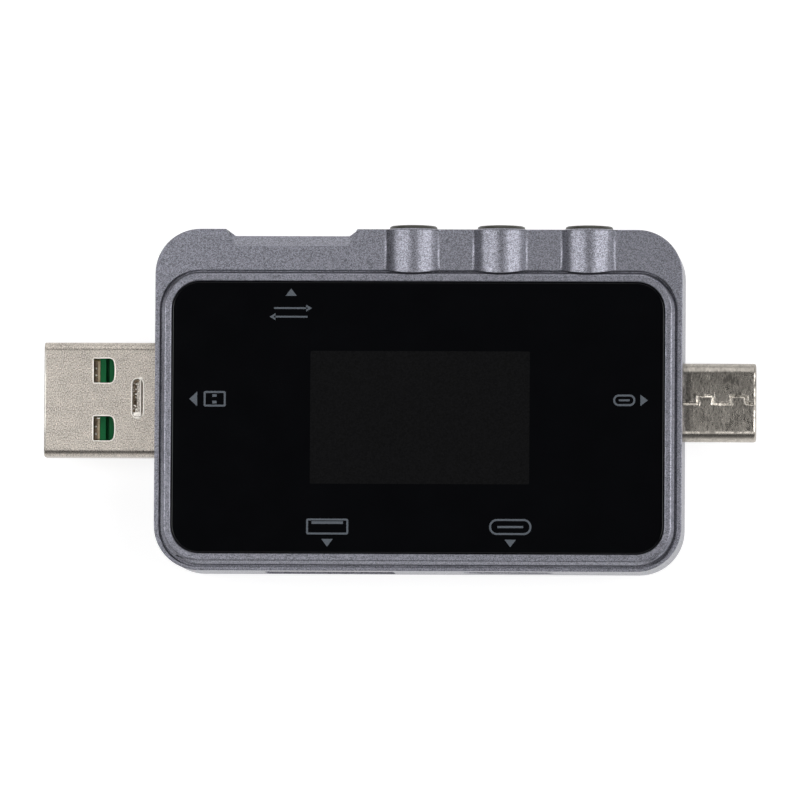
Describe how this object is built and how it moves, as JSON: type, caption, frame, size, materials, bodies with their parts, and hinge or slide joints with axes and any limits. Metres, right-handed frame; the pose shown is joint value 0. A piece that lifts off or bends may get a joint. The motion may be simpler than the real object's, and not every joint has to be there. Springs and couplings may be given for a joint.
{
  "type": "usb power meter",
  "caption": "Flat in-line USB tester: input plugs at both ends, output sockets along one edge, push buttons and a data port on the other, gloss screen panel.",
  "frame": {"origin": "centre of the case's flat back face, on which the meter lies", "axes": "+Z out of the screen; +X towards the USB-C plug, -X the USB-A plug; +Y the edge with the buttons and the data port, -Y the edge with the output sockets"},
  "size_m": [0.0744, 0.0363, 0.0124],
  "materials": {
    "case_grey": "satin metallic grey paint with a fine sparkle",
    "panel_black": "high gloss black acrylic",
    "panel_print": "grey silk-screen print",
    "plug_metal": "nickel plated stamped steel, fine grain",
    "socket_metal": "nickel plated stamped steel",
    "contact_metal": "gold flashed",
    "insulator_green": "moulded, satin",
    "insulator_black": "moulded, satin",
    "button_dark": "satin, dark grey",
    "screw_black": "black zinc",
    "tape_black": "foam adhesive tape",
    "display_glass": "polished, display off",
    "backlight_white": "white moulding",
    "flex_amber": "polyimide film",
    "board_green": "solder mask",
    "chip_black": "moulded epoxy",
    "ceramic_tan": "fired ceramic",
    "ferrite_grey": "pressed ferrite",
    "plunger_white": "moulded"
  },
  "bodies": {
    "case": {"back_shell": "case_grey", "front_shell": "case_grey", "case_screws": "screw_black", "screen_panel": "panel_black", "panel_adhesive": "tape_black", "lcd_glass": "display_glass", "lcd_backlight": "backlight_white", "lcd_flex": "flex_amber", "circuit_board": "board_green", "usb_a_plug_shell": "plug_metal", "usb_a_plug_insulator": "insulator_green", "usb_a_plug_contacts": "contact_metal", "usb_c_plug_shell": "plug_metal", "usb_c_plug_insulator": "insulator_black", "usb_c_plug_contacts": "contact_metal", "usb_a_socket_shell": "socket_metal", "usb_a_socket_tongue": "insulator_green", "usb_a_socket_contacts": "contact_metal", "usb_c_socket_shell": "socket_metal", "usb_c_socket_tongue": "insulator_black", "usb_c_socket_contacts": "contact_metal", "data_port_shell": "socket_metal", "data_port_tongue": "insulator_black", "data_port_contacts": "contact_metal", "switch_left_body": "chip_black", "switch_middle_body": "chip_black", "switch_right_body": "chip_black", "microcontroller": "chip_black", "metering_chip": "chip_black", "shunt_resistor": "chip_black", "voltage_regulator": "chip_black", "power_transistors": "chip_black", "inductor": "ferrite_grey", "crystal": "socket_metal", "chip_capacitors": "ceramic_tan", "chip_resistors": "chip_black"},
    "button_left": {"button_left": "button_dark", "switch_left_plunger": "plunger_white"},
    "button_middle": {"button_middle": "button_dark", "switch_middle_plunger": "plunger_white"},
    "button_right": {"button_right": "button_dark", "switch_right_plunger": "plunger_white"}
  },
  "joints": [
    {"name": "button_left_press", "type": "slide", "parent": "case", "child": "button_left", "axis": [0, -1, 0], "range_m": [0, 0.00025], "stiffness_N_per_m": 6000},
    {"name": "button_middle_press", "type": "slide", "parent": "case", "child": "button_middle", "axis": [0, -1, 0], "range_m": [0, 0.00025], "stiffness_N_per_m": 6000},
    {"name": "button_right_press", "type": "slide", "parent": "case", "child": "button_right", "axis": [0, -1, 0], "range_m": [0, 0.00025], "stiffness_N_per_m": 6000}
  ]
}
